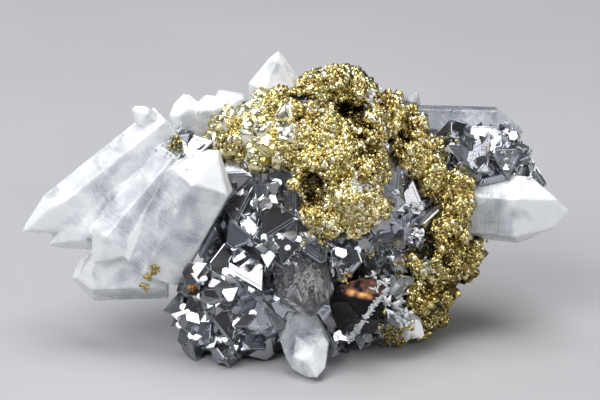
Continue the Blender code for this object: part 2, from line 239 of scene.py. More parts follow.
def joined(parts):
    """The points and triangles of all parts as one."""
    starts = np.cumsum([0, *(len(part[0]) for part in parts)])
    points = np.concatenate([part[0] for part in parts])
    return points, np.concatenate([part[1] + start for part, start in zip(parts, starts)])


def built_mesh(name, parts):
    """One mesh, kept above the floor, from parts made of points, triangles and a tone for each point."""
    points, triangles = joined(parts)
    tones = [np.broadcast_to(part_tones, len(part_points)) for part_points, _, part_tones in parts]
    points = points * METRES
    points[:, 2] = np.maximum(points[:, 2], 0)
    mesh = bpy.data.meshes.new(name)
    mesh.vertices.add(len(points))
    mesh.vertices.foreach_set("co", points.ravel())
    mesh.loops.add(triangles.size)
    mesh.loops.foreach_set("vertex_index", triangles.astype(np.int32).ravel())
    mesh.polygons.add(len(triangles))
    mesh.polygons.foreach_set("loop_start", np.arange(0, triangles.size, 3, dtype=np.int32))
    mesh.update(calc_edges=True)
    set_field(mesh, "tone", np.concatenate(tones))
    return mesh


def set_field(mesh, name, values):
    """A number for each point, for a finish to read."""
    mesh.attributes.new(name, "FLOAT", "POINT").data.foreach_set("value", values.astype(np.float32))


def add_piece(name, parts, finish, slot, *nodes, smooth=None, fields=()):
    """A piece that rides on the one body, takes a finish and may stand for some solids. Its slot is not
    used.

    A smooth piece keeps the edges sharp that turn more than so many degrees.
    """
    mesh = built_mesh(name, parts)
    for field_name, values in fields:
        set_field(mesh, field_name, values)
    mesh.materials.append(finish)
    if smooth is not None:
        mesh.shade_smooth()
        mesh.set_sharp_from_angle(angle=math.radians(smooth))
    made = placed(name, mesh)
    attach(made, "root")
    if nodes:
        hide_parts(*nodes)


def convex(ways, reach):
    """A closed mesh in millimetres of the space that lies inside every face plane."""
    triples = np.array(list(itertools.combinations(range(len(ways)), 3)))
    triples = triples[np.abs(np.linalg.det(ways[triples])) > SPANNED]
    points = np.linalg.solve(ways[triples], reach[triples][..., None])[..., 0]
    points = points[(points @ ways.T < reach + ON_PLANE).all(axis=1)]
    points = np.unique(np.round(points, 4), axis=0)
    bm = bmesh.new()
    for point in points:
        bm.verts.new(point)
    found = bmesh.ops.convex_hull(bm, input=bm.verts)
    bmesh.ops.delete(bm, geom=list({*found["geom_interior"], *found["geom_unused"]}), context="VERTS")
    bmesh.ops.dissolve_limit(bm, angle_limit=math.radians(0.5), verts=bm.verts, edges=bm.edges)
    bmesh.ops.recalc_face_normals(bm, faces=bm.faces)
    return bm


def chamfer(bm, width, segments=1):
    bmesh.ops.bevel(bm, geom=bm.edges, offset=width, segments=segments, affect="EDGES", clamp_overlap=True)


def broad(face, area, thickness):
    """Whether a face is large enough, and nowhere near as thin as a sliver."""
    size = face.calc_area()
    return size > area and 2 * size / sum(edge.calc_length() for edge in face.edges) > thickness


def copies(shape, places, frames, sizes):
    """The points and triangles of one shape set at many places."""
    points, triangles = shape
    moved = np.einsum("sij,pj->spi", frames, points) * sizes[:, None, None] + places[:, None]
    shift = np.arange(len(places))[:, None, None] * len(points)
    return moved.reshape(-1, 3), (triangles[None] + shift).reshape(-1, 3)


def scattered(shapes, places, sizes, tones, rng, frames=None):
    """Parts for built_mesh: a random one of the shapes at each place."""
    frames = random_frames(len(places), rng) if frames is None else frames
    tones = np.broadcast_to(tones, len(places))
    picks = rng.integers(0, len(shapes), len(places))
    parts = []
    for k, shape in enumerate(shapes):
        chosen = picks == k
        if chosen.any():
            points, triangles = copies(shape, places[chosen], frames[chosen], sizes[chosen])
            parts.append((points, triangles, np.repeat(tones[chosen], len(shape[0]))))
    return parts


def random_sizes(span, rarity, count, rng):
    """Sizes in a span. The higher the rarity, the fewer are large."""
    low, high = span
    return low + (high - low) * rng.uniform(size=count) ** rarity


def sites_on(points, triangles, spacing, rng):
    """Places spread over a surface, about spacing apart, with the way out at each."""
    across = face_normals(points, triangles)
    area = np.linalg.norm(across, axis=1) / 2
    count = int(CANDIDATES * area.sum() / spacing**2)
    picked = rng.choice(len(triangles), count, p=area / area.sum())
    share = rng.uniform(size=(count, 2))
    share = np.where(share.sum(axis=1, keepdims=True) > 1, 1 - share, share)
    a, b, c = (points[triangles[picked, k]] for k in range(3))
    places = a + (b - a) * share[:, :1] + (c - a) * share[:, 1:]
    _, first = np.unique(np.floor(places / spacing), axis=0, return_index=True)
    return places[first], unit_rows(across[picked[first]])


def in_the_open(places, ways, trees, room):
    """Which places have nothing of the trees within room along their way out."""
    return np.array([
        all(tree.ray_cast(Vector(place), Vector(way), room)[0] is None for tree in trees)
        for place, way in zip(places, ways)
    ])


def leaning(ways, lean, rng):
    """Each way out, leant over by chance."""
    return unit_rows(ways + unit_rows(rng.normal(size=ways.shape)) * lean)


def clear_lines(places, ways, tree, lines, rng):
    """How many lines out of each place run clear. They have a start off it, a lean and a reach."""
    start, lean, reach = lines
    clear = np.zeros(len(places), int)
    for _ in range(LINES_OUT):
        clear += in_the_open(places + ways * start, leaning(ways, lean, rng), [tree], reach)
    return clear


def specimen_tree(crust):
    """The solids, with the finished crust in place of its own, in one tree for lines of sight to meet."""
    solids = {name: arrays_of(node_mesh(name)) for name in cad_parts}
    solids["chalcopyrite_crust"] = crust
    return tree_of(*joined(solids.values()))


def seen_around(pixel, spread, count, tree, rng):
    """The places, and the ways out, that lines of sight near a pixel meet."""
    places, ways = [], []
    for aimed in rng.normal(pixel, spread, (count, 2)):
        start, way = sight_line(aimed)
        place, out, _, _ = tree.ray_cast(Vector(start), Vector(way))
        if place is not None:
            places.append(place + out * PIXEL_LIFT)
            ways.append(out)
    return np.array(places), np.array(ways)


def frames_along(ways, rng):
    """Turns that set a shape's own height along each way."""
    sides = unit_rows(np.cross(ways, rng.normal(size=ways.shape)))
    return np.stack([sides, np.cross(ways, sides), ways], axis=2)


def four_ways():
    """The ways out of a four-faced crystal."""
    return unit_rows(np.array(((1, 1, 1), (1, -1, -1), (-1, 1, -1), (-1, -1, 1)), float))


# A four-faced crystal with its points cut off: its stretch, and how far out its faces and the cuts stand.
Habit = namedtuple("Habit", "stretch faces cuts")
GRAIN_HABIT = Habit((0.8, 1.3), (0.42, 0.6), (0.6, 1.05))
BLOCK_HABIT = Habit((0.85, 1.2), (0.42, 0.62), (0.6, 1.0))

# A growth plate: the area and thickness that a face needs to bear one, its margin and its rise.
Plate = namedtuple("Plate", "area thickness margin rise")
BLOCK_PLATE = Plate(0.5, 0.3, 0.16, 0.07)
SMALL_PLATE = Plate(0.45, 0.2, 0.1, 0.045)


def four_faced(habit, rng):
    ways = np.concatenate([four_ways() * (1, 1, rng.uniform(*habit.stretch)), -four_ways()])
    reach = np.concatenate([rng.uniform(*habit.faces, 4), rng.uniform(*habit.cuts, 4)])
    return convex(unit_rows(ways), reach)


def with_plates(bm, plate):
    """The points and triangles of a crystal with chamfered edges and a plate on each broad face."""
    chamfer(bm, width=0.03)
    faces = [face for face in bm.faces if broad(face, plate.area, plate.thickness)]
    bmesh.ops.inset_individual(bm, faces=faces, thickness=plate.margin)
    bmesh.ops.inset_individual(bm, faces=faces, thickness=0.02, depth=plate.rise)
    return arrays_of(bm)


# How the chalcopyrite crust rises, but for its underside, and how deep its ledges and hollows are.
CRUST_RISE = 0.35
LEDGES = 3
LEDGE_DEPTH = 0.9
UNEVEN_DEPTH = 0.14
HOLLOW_FIELD = 0.35
HOLLOW_START = -0.05
HOLLOW_DEPTH = 1.1

# Windows where the crust swells or shrinks, and by how much.
SWELLINGS = ((((340, 74), 27, 17, 0), 1.4), (((384, 86), 16, 9, 40), -1.0))

# Cavities in the crust, each a window, how deep they go, and how much of their openness they lose, which
# darkens them as painted shade.
CAVITIES = (
    ((312, 187), 17, 11, 75), ((350, 112), 17, 8, 35), ((366, 124), 12, 6, 20), ((283, 125), 8, 5, 70),
    ((359, 137), 7, 4, 5), ((404, 137), 7, 5, 20), ((300, 118), 6, 3, -20), ((384, 104), 9, 4, 25),
    ((322, 171), 8, 3, -25), ((448, 262), 9, 5, 30), ((424, 254), 9, 6, 10),
)
CAVITY_DEPTH = 2.6
CAVITY_SHADE = 0.9
# The lines that tell how open the crust is: how far off it they start, how they lean, how far they reach.
OPEN_LINES = (0.15, 0.9, 4.0)

# Painted shade between the grains: the crust's tone where it is shut in, and how much an open place adds.
BASE_TONE = 0.02
BASE_TONE_OPEN = 0.25
# The tone of a grain by how open its place is, dark as painted shade where it is shut in, and how far
# patches of the crust and chance move it.
OPENNESS_STEPS = (0, 0.25, 1)
TONE_STEPS = (-0.1, 0.36, 0.6)
TONE_FIELD = 0.12
TONE_CHANCE = 0.24
TONE_LIMITS = (0.02, 0.98)
# Paler and darker patches of the crust: each a window, and how far the tone moves.
TONE_PATCHES = (
    (((350, 210), 38, 26, 0), 0.14), (((245, 138), 52, 36, 0), 0.08), (((432, 125), 30, 9, 55), 0.22),
    (((358, 184), 14, 10, 0), 0.1), (((458, 235), 30, 62, 0), -0.2), (((330, 100), 24, 10, 10), -0.12),
    (((440, 315), 34, 34, 0), -0.22),
)

# The grains of the crust: how many shapes, their spacing, their radius, how it varies by patch, their depth.
GRAIN_SHAPES = 30
GRAIN_SPACING = 0.78
GRAIN_RADIUS = (0.34, 1.0)
GRAIN_RARITY = 2.2
GRAIN_FIELD = 0.3
GRAIN_SUNK = 0.1

# The larger crystals of the crust, in the same way. They stand only where it is open, and the largest only
# in a box of pixels, given by its left, top, right and bottom. A pair is for the largest and the others.
BLOCK_SHAPES = 16
BLOCK_SPACING = 2.3
BLOCK_RADII = ((1.4, 2.9), (0.9, 1.5))
BLOCK_RARITY = 1.6
BLOCK_SUNK = 0.3
BLOCK_OPENNESS = 0.45
BLOCK_CHANCES = (0.85, 0.4)
BLOCK_PALER = (0.16, 0.05)
LARGE_BLOCKS = (196, 80, 292, 192)

# Sprays of chalcopyrite grains away from the crust and on the floors of its cavities: pixel, spread in
# pixels, how many, their tone from dark to pale, and the share that is rusty.
STRAY_GRAINS = (
    ((155, 267), 2, 14, 0.5, 0), ((150, 276), 2, 14, 0.5, 0), ((145, 285), 2, 14, 0.5, 0),
    ((177, 143), 4, 24, 0.5, 0), ((195, 288), 2.5, 36, 0.3, 1), ((346, 279), 3, 16, 0.4, 0.5),
    ((395, 335), 8, 100, 0.45, 0), ((436, 318), 7, 80, 0.4, 0), ((322, 240), 4, 10, 0.5, 0),
    ((408, 262), 8, 40, 0.5, 0.1), ((424, 290), 9, 90, 0.3, 0), ((372, 250), 6, 10, 0.5, 0),
    # The last two sprays put the darkest grains on the cavity floors, as painted shade.
    ((313, 185), 4, 340, 0.0, 0), ((357, 118), 5, 150, 0.05, 0),
)
STRAY_SHAPES = 8
STRAY_RADIUS = (0.24, 0.62)
STRAY_TONE_SPREAD = 0.3
# Rust is marked by a tone that no brassy grain has.
RUSTY_TONE = 2

# The crust's points, the triangles that can be seen, a tree of them, and how open each point is.
Crust = namedtuple("Crust", "points shown tree open_at")


def crust_push(points, normals, sunk):
    """How far each point of the crust moves out."""
    rugged = rugged_at(points, size=5.5, seed=1) + HOLLOW_FIELD * noise_at(points, size=11, seed=5)
    hollow = np.clip(HOLLOW_START - rugged, 0, 1)
    ledges = np.floor(noise_at(points, size=3.6, seed=13) * LEDGES) / LEDGES
    push = CRUST_RISE + LEDGE_DEPTH * ledges + UNEVEN_DEPTH * noise_at(points, size=1.7, seed=9)
    push -= HOLLOW_DEPTH * hollow + CAVITY_DEPTH * sunk
    return push + sum(rise * in_window(points, window) for window, rise in SWELLINGS)


def crust_surface(rng):
    """The crust's points and triangles with all hollows, which points lie outside, and how open they are."""
    points, triangles = remeshed(node_mesh("chalcopyrite_crust"), voxel=0.55)
    points = relaxed(points, triangles, rounds=8)
    normals = point_normals(points, triangles)
    outside = in_the_open(points, normals, [node_tree("sphalerite_matrix")], room=3.0)
    towards = facing(normals)
    sunk = np.minimum(sum(towards * in_window(points, cavity) for cavity in CAVITIES), 1)
    points = points + normals * np.where(outside, crust_push(points, normals, sunk), 0)[:, None]
    clear = clear_lines(points, normals, tree_of(points, triangles), OPEN_LINES, rng)
    # The cavities lose openness, which darkens their tone as painted shade.
    return points, triangles, outside, clear / LINES_OUT * (1 - CAVITY_SHADE * sunk)


def open_near(crust, places):
    """How open the crust is at each place."""
    nearest = [crust.tree.find_nearest(Vector(place))[2] for place in places]
    return crust.open_at[crust.shown[nearest, 0]]


def grain_tones_with_painted_shade(places, open_at, rng):
    """Tones of brass: dark in the pits as painted shade, paler and duller in patches."""
    tones = np.interp(open_at, OPENNESS_STEPS, TONE_STEPS) + TONE_FIELD * noise_at(places, size=7, seed=61)
    tones += rng.normal(0, TONE_CHANCE, len(places))
    for window, change in TONE_PATCHES:
        tones += change * in_window(places, window)
    return np.clip(tones, *TONE_LIMITS)


def chalcopyrite_grains(crust, finish, rng):
    places, ways = sites_on(crust.points, crust.shown, GRAIN_SPACING, rng)
    sizes = random_sizes(GRAIN_RADIUS, GRAIN_RARITY, len(places), rng)
    sizes *= 1 + GRAIN_FIELD * noise_at(places, size=5, seed=30)
    tones = grain_tones_with_painted_shade(places, open_near(crust, places), rng)
    shapes = [arrays_of(four_faced(GRAIN_HABIT, rng)) for _ in range(GRAIN_SHAPES)]
    order = rng.permutation(len(places))
    for name, some in zip(("chalcopyrite_grains_a", "chalcopyrite_grains_b"), np.array_split(order, 2)):
        parts = scattered(shapes, places[some] - ways[some] * GRAIN_SUNK, sizes[some], tones[some], rng)
        add_piece(name, parts, finish, "chalcopyrite")


def chalcopyrite_blocks(crust, finish, rng):
    places, ways = sites_on(crust.points, crust.shown, BLOCK_SPACING, rng)
    open_here = open_near(crust, places)
    across, down = photo_place(places)
    left, top, right, bottom = LARGE_BLOCKS
    large = (across > left) & (across < right) & (down > top) & (down < bottom)
    chance = np.where(large, *BLOCK_CHANCES)
    kept = (open_here > BLOCK_OPENNESS) & (rng.uniform(size=len(places)) < chance)
    places, ways, large, open_here = places[kept], ways[kept], large[kept], open_here[kept]
    share = rng.uniform(size=len(places)) ** BLOCK_RARITY
    sizes = np.where(large, *(np.interp(share, (0, 1), radii) for radii in BLOCK_RADII))
    tones = np.clip(grain_tones_with_painted_shade(places, open_here, rng) + np.where(large, *BLOCK_PALER), 0, 1)
    shapes = [with_plates(four_faced(BLOCK_HABIT, rng), BLOCK_PLATE) for _ in range(BLOCK_SHAPES)]
    parts = scattered(shapes, places - ways * sizes[:, None] * BLOCK_SUNK, sizes, tones, rng)
    add_piece("chalcopyrite_blocks", parts, finish, "chalcopyrite")


def chalcopyrite(finish):
    """The crust, its grains and its larger crystals. Gives back the crust's points and triangles."""
    rng = np.random.default_rng(21)
    points, triangles, outside, open_at = crust_surface(rng)
    # The crust's tone is darker where it is shut in, as painted shade.
    add_piece("chalcopyrite_base", [(points, triangles, BASE_TONE + BASE_TONE_OPEN * open_at)], finish,
              "chalcopyrite", "chalcopyrite_crust")
    shown = triangles[outside[triangles].all(axis=1)]
    crust = Crust(points, shown, tree_of(points, shown), open_at)
    chalcopyrite_grains(crust, finish, rng)
    chalcopyrite_blocks(crust, finish, rng)
    return points, triangles


def stray_chalcopyrite(finish, tree):
    """Small groups of brassy and rusty grains on the other minerals."""
    rng = np.random.default_rng(25)
    shapes = [arrays_of(four_faced(GRAIN_HABIT, rng)) for _ in range(STRAY_SHAPES)]
    parts = []
    for pixel, spread, count, tone, rust in STRAY_GRAINS:
        places, _ = seen_around(pixel, spread, count, tree, rng)
        rusty = rng.uniform(size=len(places)) < rust
        brassy = np.clip(rng.normal(tone, STRAY_TONE_SPREAD * tone, len(places)), 0, 1)
        sizes = rng.uniform(*STRAY_RADIUS, len(places))
        parts += scattered(shapes, places, sizes, np.where(rusty, RUSTY_TONE, brassy), rng)
    add_piece("chalcopyrite_stray_grains", parts, finish, "chalcopyrite")


# Sphalerite: the area and thickness of a face that gets a chamfer, and the chamfer.
CHAMFERED_FACE = (0.5, 0.3)
CHAMFER = 0.12
CHAMFER_RISE = 0.05
# The faces that bear growth plates, and those too small for one more. Like every count here, the number of
# plates on a face is drawn from the first number to just below the second.
PLATED_FACE = (5.0, 0.8)
LAST_PLATE = (2.0, 0.45)
PLATES = (1, 4)
PLATE_MARGIN = (0.16, 0.5)
PLATE_RISE = 0.13
# No plate reaches further from the solid than this.
PLATE_REACH = 0.45

# The small crystals: how many shapes they have, how far out faces and cuts stand, how many tips are blunt,
# their spacing and radius, how far out they stand, and their least height.
SMALL_SHAPES = 18
SMALL_FACES = (0.42, 0.62)
SMALL_CUTS = (0.65, 1.05)
BLUNT_TIPS = (2, 5)
SMALL_SPACING = 1.95
SMALL_RADIUS = (0.65, 2.1)
SMALL_RARITY = 1.8
SMALL_LIFT = 0.05
SMALL_FLOOR = 1.8
# Most stand in nooks, where a line out of their place soon meets another crystal, and where two do they are
# larger. The lines are given as for the crust. A pair is for a nook and elsewhere.
NOOK_LINES = (0.1, 1, 3.0)
SMALL_CHANCES = (0.8, 0.16)
SMALL_SIZES = (1.1, 0.8)
# Right of the first distance there are more of them, and right of the second they are smaller.
RIGHT_MORE = 34
RIGHT_CHANCE = 0.3
RIGHT_SMALLER = 40
RIGHT_SIZE = 0.55

# The share of the small crystals that mirrors the key light: everywhere, and inside one window.
MIRROR_SHARE = 0.22
MIRROR_SHARE_LOW = 0.5
MIRROR_WINDOW = ((235, 300), 62, 48, 0)
MIRROR_SPREAD = 0.1

# The tone of a flat face is as good as random, but hangs on the way it looks alone.
TONE_WAYS = (12.99, 78.23, 37.72)
TONE_SPREAD = 437.58


def grow_plates(bm, rng):
    """Chamfers the broad faces, and raises or sinks growth plates on the broadest."""
    faces = [face for face in bm.faces if broad(face, *CHAMFERED_FACE)]
    bmesh.ops.inset_individual(bm, faces=faces, thickness=CHAMFER, depth=CHAMFER_RISE, use_even_offset=True)
    for face in [face for face in faces if broad(face, *PLATED_FACE)]:
        for _ in range(rng.integers(*PLATES)):
            if not broad(face, *LAST_PLATE):
                break
            margin = rng.uniform(*PLATE_MARGIN)
            bmesh.ops.inset_individual(bm, faces=[face], thickness=margin, use_even_offset=True)
            rise = PLATE_RISE * rng.choice((-1, 1))
            bmesh.ops.inset_individual(bm, faces=[face], thickness=0.06, depth=rise, use_even_offset=True)


def faceted(points, triangles):
    """The triangles with corners of their own, and a tone that each flat face has to itself."""
    ways = np.round(unit_rows(face_normals(points, triangles)), 2)
    tones = np.abs(np.sin(ways @ TONE_WAYS) * TONE_SPREAD) % 1
    return points[triangles].reshape(-1, 3), np.arange(triangles.size).reshape(-1, 3), np.repeat(tones, 3)


def sphalerite_shape(rng):
    """A four-faced crystal with blunt tips, chamfered edges and a growth plate on each broad face."""
    blunt = rng.choice(4, rng.integers(*BLUNT_TIPS), replace=False)
    ways = np.concatenate([four_ways(), -four_ways()[blunt]])
    reach = np.concatenate([rng.uniform(*SMALL_FACES, 4), rng.uniform(*SMALL_CUTS, len(blunt))])
    return with_plates(convex(ways, reach), SMALL_PLATE)


def mirror_frames(count, rng):
    """Turns that set one broad face of a crystal to mirror the key light to the camera, more or less."""
    half = unit(unit(np.array(KEY_PLACE) / METRES - AIM) - camera_axes()[2])
    ways = unit_rows(half + rng.normal(0, MIRROR_SPREAD, (count, 3)))
    upright = frames_along(four_ways()[:1], rng)[0].T
    return frames_along(ways, rng) @ upright


def small_frames(places, rng):
    """Random turns, but many crystals low on the left mirror the key light."""
    shares = MIRROR_SHARE + (MIRROR_SHARE_LOW - MIRROR_SHARE) * (in_window(places, MIRROR_WINDOW) > 0)
    mirrors = rng.uniform(size=len(places)) < shares
    return np.where(mirrors[:, None, None], mirror_frames(len(places), rng), random_frames(len(places), rng))


def small_sphalerite(points, triangles, tree, finish, rng):
    others = [node_tree(name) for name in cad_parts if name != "sphalerite_matrix"]
    places, ways = sites_on(points, triangles, SMALL_SPACING, rng)
    clear = in_the_open(places, ways, others, room=4.0) & (places[:, 2] > SMALL_FLOOR)
    places, ways = places[clear], ways[clear]
    met = LINES_OUT - clear_lines(places, ways, tree, NOOK_LINES, rng)
    chance = np.where(met >= 1, *SMALL_CHANCES)
    chance += np.where(places[:, 0] > RIGHT_MORE, RIGHT_CHANCE, 0)
    kept = rng.uniform(size=len(places)) < chance
    places, ways, met = places[kept], ways[kept], met[kept]
    sizes = random_sizes(SMALL_RADIUS, SMALL_RARITY, len(places), rng)
    sizes *= np.where(met >= 2, *SMALL_SIZES)
    sizes *= np.where(places[:, 0] > RIGHT_SMALLER, RIGHT_SIZE, 1)
    shapes = [sphalerite_shape(rng) for _ in range(SMALL_SHAPES)]
    lifted = places + ways * sizes[:, None] * SMALL_LIFT
    parts = scattered(shapes, lifted, sizes, 0, rng, small_frames(places, rng))
    parts = [faceted(part_points, part_triangles) for part_points, part_triangles, _ in parts]
    add_piece("sphalerite_small_crystals", parts, finish, "sphalerite")


def sphalerite(finish):
    """The large crystals with their plates, and the small ones between them."""
    rng = np.random.default_rng(22)
    bm = node_mesh("sphalerite_matrix")
    points, triangles = arrays_of(bm.copy())
    tree = tree_of(points, triangles)
    grow_plates(bm, rng)
    for vert in bm.verts:
        near, _, _, away = tree.find_nearest(vert.co)
        if away > PLATE_REACH:
            vert.co = near
    add_piece("sphalerite_crystals", [faceted(*arrays_of(bm))], finish, "sphalerite", "sphalerite_matrix")
    small_sphalerite(points, triangles, tree, finish, rng)


# Quartz: how fine its mesh is, that of the single crystals as a share of it, how uneven its skin is, and the
# width of its ribs.
QUARTZ_VOXEL = 0.33
SINGLE_VOXEL = 0.8
SKIN_DEPTH = 0.04
RIB_PITCH = 0.35
# Ribs are on the sides, where the way out stands across the crystal, and come and go along them.
SIDE_START = 1.3
SIDE_FADE = 2.4
RIB_SHARE = 0.55
RIB_FIELD = 1.1
# How far the milk of a crystal varies, how much less its sides have, and how much less grey windows have.
MILK_FIELD = 0.06
SIDE_CLEARER = 0.12
GREY_CLEARER = 0.18

# Grey, less milky windows in the quartz: partly clearer quartz, partly painted shade on faces and creases.
GREY_WINDOWS = (
    ((109, 207), 17, 8, -55), ((150, 200), 34, 9, -55), ((202, 175), 13, 10, -30), ((188, 205), 20, 8, -60),
    ((130, 270), 26, 8, -35), ((186, 236), 18, 7, 10), ((520, 214), 14, 7, 25), ((494, 210), 14, 20, 0),
    ((100, 240), 20, 5, 10), ((272, 66), 7, 9, -35), ((298, 345), 12, 6, -50), ((345, 362), 18, 6, 60),
)

# The line from the root of each quartz crystal to its tip, and how milky the crystal is.
QUARTZ_ALONG = {
    "quartz_point_front": (((-1, -13, 9.2), (3.6, -29.2, 1.2)), 0.62),
    "quartz_tip_lower_right": (((15, -12, 10), (24.9, -16.5, 4.6)), 0.7),
    "quartz_blade_front": (((19.5, -16, 15.5), (9.6, -20.8, 5.4)), 0.6),
    "quartz_point_right": (((30, 1, 26.5), (54.0, -2.5, 25.8)), 0.82),
    "quartz_slab_back_right": (((23, 13, 39), (45.6, 12, 37.4)), 0.3),
    "quartz_tip_back": (((20, 8, 38), (23.8, 8, 47.6)), 0.4),
    "quartz_point_top": (((-4.5, 8, 40), (-4.0, 8, 56.0)), 0.8),
}
CLUSTER_ALONG = (
    ((-25, 2.4, 41), (-54.6, -8, 23.6)),
    ((-24, -1, 35), (-49.5, -7.5, 20.4)),
    ((-23.5, -3, 36.5), (-40.2, -12.5, 18.6)),
    ((-28.8, -11, 17.4), (-15.6, -13, 42.4)),
    ((-26, -8, 15.3), (-45.2, -8, 13.8)),
    ((-25, 1, 40.5), (-33, 0, 46.8)),
    ((-18, 4, 33), (-22.8, 4, 48.4)),
    ((-15, 5, 33), (-18.5, 5, 47.8)),
    ((-8, 8, 36), (-16.2, 8, 47.8)),
)
CLUSTER_MILK = 0.8


def nearest_axis(points, lines):
    """For each point, the way of the crystal whose middle line it lies nearest to."""
    best = np.full(len(points), np.inf)
    ways = np.zeros((len(points), 3))
    for start, end in lines:
        start, end = np.array(start, float), np.array(end, float)
        way = unit(end - start)
        along = np.clip((points - start) @ way, 0, np.linalg.norm(end - start))
        away = np.linalg.norm(points - start - along[:, None] * way, axis=1)
        nearer = away < best
        best[nearer] = away[nearer]
        ways[nearer] = way
    return ways


def quartz_piece(name, lines, milk, voxel, finish, seed):
    """A crystal with a slightly uneven skin, ribs across its sides, and grey windows in its milk."""
    points, triangles = remeshed(node_mesh(name), voxel)
    normals = point_normals(points, triangles)
    ways = nearest_axis(points, lines)
    sides = np.clip(SIDE_START - SIDE_FADE * np.abs((normals * ways).sum(axis=1)), 0, 1)
    ribbed = sides * np.clip(RIB_SHARE + RIB_FIELD * noise_at(points, size=6, seed=seed), 0, 1)
    tones = milk + MILK_FIELD * noise_at(points, size=3.2, seed=seed + 7) - SIDE_CLEARER * sides
    # Grey windows, partly painted shade, take milk off the faces turned to the camera.
    for window in GREY_WINDOWS:
        tones -= GREY_CLEARER * facing(normals) * in_window(points, window)
    moved = points + normals * (SKIN_DEPTH * noise_at(points, size=2.6, seed=seed + 3))[:, None]
    fields = (("along", (points * ways).sum(axis=1) / RIB_PITCH), ("ribbed", ribbed))
    add_piece(name + "_milky", [(moved, triangles, np.clip(tones, 0, 1))], finish, "quartz", name,
              smooth=32, fields=fields)


def quartz(finish):
    quartz_piece("quartz_cluster_left", CLUSTER_ALONG, CLUSTER_MILK, QUARTZ_VOXEL, finish, seed=40)
    for seed, (name, (line, milk)) in enumerate(QUARTZ_ALONG.items(), start=50):
        quartz_piece(name, [line], milk, QUARTZ_VOXEL * SINGLE_VOXEL, finish, seed)


def without_ribs(parts):
    """The fields of a quartz piece that has no ribs."""
    nothing = np.zeros(sum(len(part[0]) for part in parts))
    return (("along", nothing), ("ribbed", nothing))


# Sprays of tiny quartz needles: pixel, spread in pixels, how many, and their length in millimetres.
NEEDLE_SPRAYS = (
    ((372, 102), 4, 16, 1.8), ((362, 184), 6, 60, 0.8), ((318, 104), 8, 50, 0.7), ((418, 207), 4, 26, 1.1),
    ((411, 240), 5, 22, 1.3), ((376, 281), 6, 26, 1.1), ((396, 305), 6, 30, 1.9), ((404, 318), 5, 20, 1.7),
    ((421, 241), 6, 18, 1.0), ((389, 132), 10, 20, 0.7), ((534, 168), 6, 26, 1.0), ((505, 145), 12, 30, 0.8),
    ((428, 262), 6, 16, 1.1), ((340, 268), 6, 16, 0.8), ((172, 150), 10, 24, 1.0), ((395, 258), 8, 18, 0.9),
)
# The pale seam down the side of the brown crystal: its two ends, and what each spray along it is like.
SEAM_ENDS = ((389, 286), (347, 342))
SEAM_SPRAYS = 26
SEAM_SPRAY = (1.1, 13, 0.62)

# A needle: half its width, how sides and ends vary, its cut root, its slope, its lean, length and tone.
NEEDLE_SHAPES = 8
NEEDLE_WIDTH = (0.09, 0.2)
NEEDLE_SIDES = (0.8, 1.2)
NEEDLE_ENDS = (0.55, 0.62)
NEEDLE_ROOT = 0.3
NEEDLE_SLOPE = (0, 0, 0.8)
NEEDLE_LEAN = 0.9
NEEDLE_LENGTH = (0.6, 1.3)
NEEDLE_TONE = 0.75


def needle_shape(rng):
    """A six-sided needle of quartz with a pointed end."""
    turns = np.radians(np.arange(0, 360, 60))
    sides = np.stack([np.cos(turns), np.sin(turns), np.zeros(6)], axis=1)
    ways = np.concatenate([sides, unit_rows(sides + NEEDLE_SLOPE), ((0, 0, -1),)])
    width = rng.uniform(*NEEDLE_WIDTH)
    reach = np.concatenate([
        width * rng.uniform(*NEEDLE_SIDES, 6), rng.uniform(*NEEDLE_ENDS, 6), (NEEDLE_ROOT,),
    ])
    return arrays_of(convex(ways, reach))


def quartz_needles(finish, tree):
    rng = np.random.default_rng(26)
    shapes = [needle_shape(rng) for _ in range(NEEDLE_SHAPES)]
    seam = [(pixel, *SEAM_SPRAY) for pixel in np.linspace(*SEAM_ENDS, SEAM_SPRAYS)]
    parts = []
    for pixel, spread, count, length in (*NEEDLE_SPRAYS, *seam):
        places, ways = seen_around(pixel, spread, count, tree, rng)
        ways = leaning(ways, NEEDLE_LEAN, rng)
        sizes = length * rng.uniform(*NEEDLE_LENGTH, len(places))
        parts += scattered(shapes, places, sizes, NEEDLE_TONE, rng, frames_along(ways, rng))
    add_piece("quartz_needles", parts, finish, "quartz", fields=without_ribs(parts))


# Cracks inside the clear crystals: the solid, the way across the crack, its distance from the middle, and
# how many flakes make it up.
CRACKS = (
    ("quartz_clear_front", (0.8, 0.3, 0.5), 1.8, 560),
    ("quartz_clear_front", (0.9, 0.2, 0.1), 2.9, 380),
    ("quartz_clear_front", (0.5, 0.2, -0.8), -1.0, 60),
    ("quartz_clear_front", (0.5, -0.5, 0.7), 2.6, 320),
    ("quartz_clear_lower_right", (0.7, 0.5, 0.4), 0.2, 60),
)
# A crack is picked out of many places, which gather near the crystal's corners the more so the smaller the
# first number is. It is this thick, and keeps within this share of the crystal.
CRACK_GATHERING = 0.35
CRACK_CANDIDATES = 8
CRACK_THICKNESS = 0.7
CRACK_WITHIN = 0.86
# A flake: the least turns between its rims, their distance, its thickness, its lean, its size and tone.
FLAKE_SHAPES = 6
FLAKE_TURNS = (0, 0.4, 0.8)
FLAKE_RIMS = (0.5, 1)
FLAKE_THICKNESS = (0.03, 0.03)
FLAKE_LEAN = 0.35
FLAKE_SIZE = (0.1, 0.52)
FLAKE_TONE = 0.9


def flake_shape(rng):
    """A thin ragged plate, part of a healed crack."""
    turns = np.sort(rng.uniform(0, 2 * math.pi, 3)) + FLAKE_TURNS
    turns = np.concatenate([turns, turns + math.pi])
    rims = np.stack([np.cos(turns), np.sin(turns), np.zeros(6)], axis=1)
    ways = np.concatenate([rims, ((0, 0, 1), (0, 0, -1))])
    return arrays_of(convex(ways, np.concatenate([rng.uniform(*FLAKE_RIMS, 6), FLAKE_THICKNESS])))


